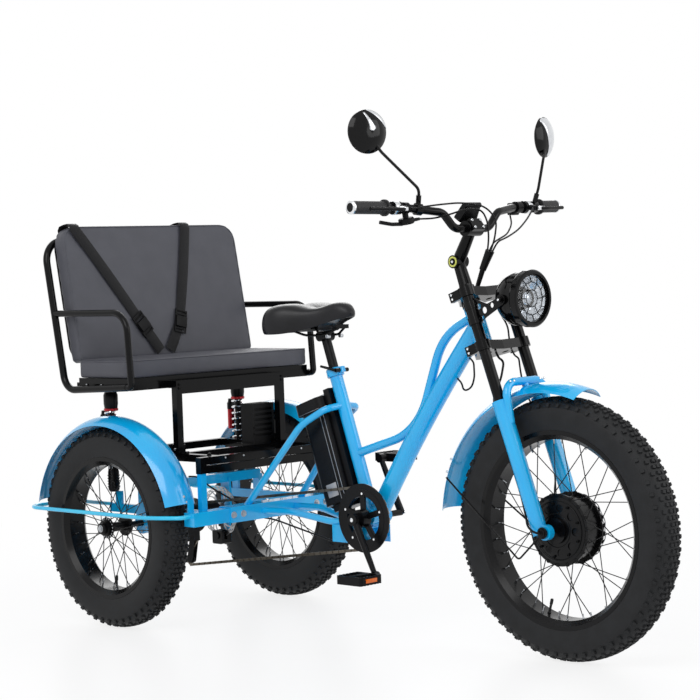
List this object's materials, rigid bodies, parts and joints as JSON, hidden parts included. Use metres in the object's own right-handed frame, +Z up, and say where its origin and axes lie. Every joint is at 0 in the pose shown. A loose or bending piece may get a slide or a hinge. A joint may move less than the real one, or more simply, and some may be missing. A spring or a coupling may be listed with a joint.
{
  "type": "electric passenger tricycle",
  "caption": "Fat-tyre electric tricycle with step-through frame, hub motor front wheel, coil-sprung rear bench with belts, saddle, battery and round headlamp.",
  "frame": {"origin": "middle of the length and width, on the ground under the tyres", "axes": "+X forward, +Y to the rider's left, +Z up"},
  "size_m": [2.1249, 0.852, 1.4509],
  "materials": {
    "blue_paint": "gloss",
    "light_blue_paint": "gloss",
    "black_paint": "gloss",
    "black_panel": "matt",
    "dark_vinyl": "satin",
    "saddle_vinyl": "satin",
    "webbing": "matt",
    "black_plastic": "satin",
    "black_rail": "satin",
    "chain_steel": "satin",
    "tyre_rubber": "matt",
    "rim_black": "gloss",
    "disc_steel": "brushed",
    "axle_steel": "satin",
    "stay_wire": "gloss",
    "grip_rubber": "matt",
    "crank_black": "satin",
    "cable_black": "satin",
    "lamp_glass": "polished"
  },
  "bodies": {
    "frame": {"main_frame": "blue_paint", "axle_frame": "blue_paint", "wheel_guards": "light_blue_paint", "platform": "black_paint", "bench_frame": "black_paint", "bench_hoop": "black_paint", "back_board": "black_panel", "seat_cushion": "dark_vinyl", "back_cushion": "dark_vinyl", "seat_belts": "webbing", "belt_buckles": "black_plastic", "rear_shocks": "black_paint", "battery": "black_plastic", "battery_rail": "black_rail", "seat_post": "black_paint", "saddle": "saddle_vinyl", "saddle_frame": "black_paint", "controller": "black_plastic", "rear_fenders": "blue_paint", "chain": "chain_steel", "derailleur": "black_paint", "rear_caliper": "black_paint", "rear_cable": "cable_black", "head_cable": "cable_black"},
    "steering": {"fork_upper": "black_paint", "fork_lower": "blue_paint", "front_axle": "axle_steel", "front_fender": "blue_paint", "fender_stays": "stay_wire", "headlamp": "black_plastic", "stem": "black_paint", "handlebar": "black_paint", "grips": "grip_rubber", "brake_levers": "black_plastic", "mirrors": "black_plastic", "display": "black_plastic", "lamp_lens": "lamp_glass", "lamp_grille": "black_plastic", "bar_controls": "black_plastic", "bar_cables": "cable_black", "fork_cables": "cable_black", "front_caliper": "black_paint"},
    "front_wheel": {"front_tyre": "tyre_rubber", "front_rim_spokes": "rim_black", "hub_motor": "rim_black", "front_brake_disc": "disc_steel"},
    "rear_wheel_right": {"rear_tyre_right": "tyre_rubber", "rear_rim_spokes_right": "rim_black", "rear_hub_right": "rim_black"},
    "rear_wheel_left": {"rear_tyre_left": "tyre_rubber", "rear_rim_spokes_left": "rim_black", "rear_hub_left": "rim_black"},
    "rear_drive": {"drive_case": "black_paint", "cassette": "chain_steel", "rear_brake_disc": "disc_steel"},
    "crank": {"crankset": "crank_black"},
    "pedal_right": {"pedal_right": "black_plastic"},
    "pedal_left": {"pedal_left": "black_plastic"}
  },
  "joints": [
    {"name": "steering", "type": "hinge", "parent": "frame", "child": "steering", "pos_m": [0.43135, 0, 0.88209], "axis": [-0.342, 0, 0.9397], "range_deg": [-40, 40]},
    {"name": "front_wheel_spin", "type": "hinge", "parent": "steering", "child": "front_wheel", "pos_m": [0.7155, 0, 0.347], "axis": [0, 1, 0], "continuous": true},
    {"name": "rear_wheel_right_spin", "type": "hinge", "parent": "frame", "child": "rear_wheel_right", "pos_m": [-0.7165, -0.344, 0.299], "axis": [0, 1, 0], "continuous": true},
    {"name": "rear_wheel_left_spin", "type": "hinge", "parent": "frame", "child": "rear_wheel_left", "pos_m": [-0.7165, 0.344, 0.299], "axis": [0, 1, 0], "continuous": true},
    {"name": "rear_drive_spin", "type": "hinge", "parent": "frame", "child": "rear_drive", "pos_m": [-0.7165, 0, 0.299], "axis": [0, 1, 0], "continuous": true},
    {"name": "crank_spin", "type": "hinge", "parent": "frame", "child": "crank", "pos_m": [0.0355, 0, 0.339], "axis": [0, 1, 0], "continuous": true},
    {"name": "pedal_right_spin", "type": "hinge", "parent": "crank", "child": "pedal_right", "pos_m": [0.10949, -0.158, 0.18595], "axis": [0, 1, 0], "continuous": true},
    {"name": "pedal_left_spin", "type": "hinge", "parent": "crank", "child": "pedal_left", "pos_m": [-0.03849, 0.158, 0.49205], "axis": [0, 1, 0], "continuous": true}
  ]
}
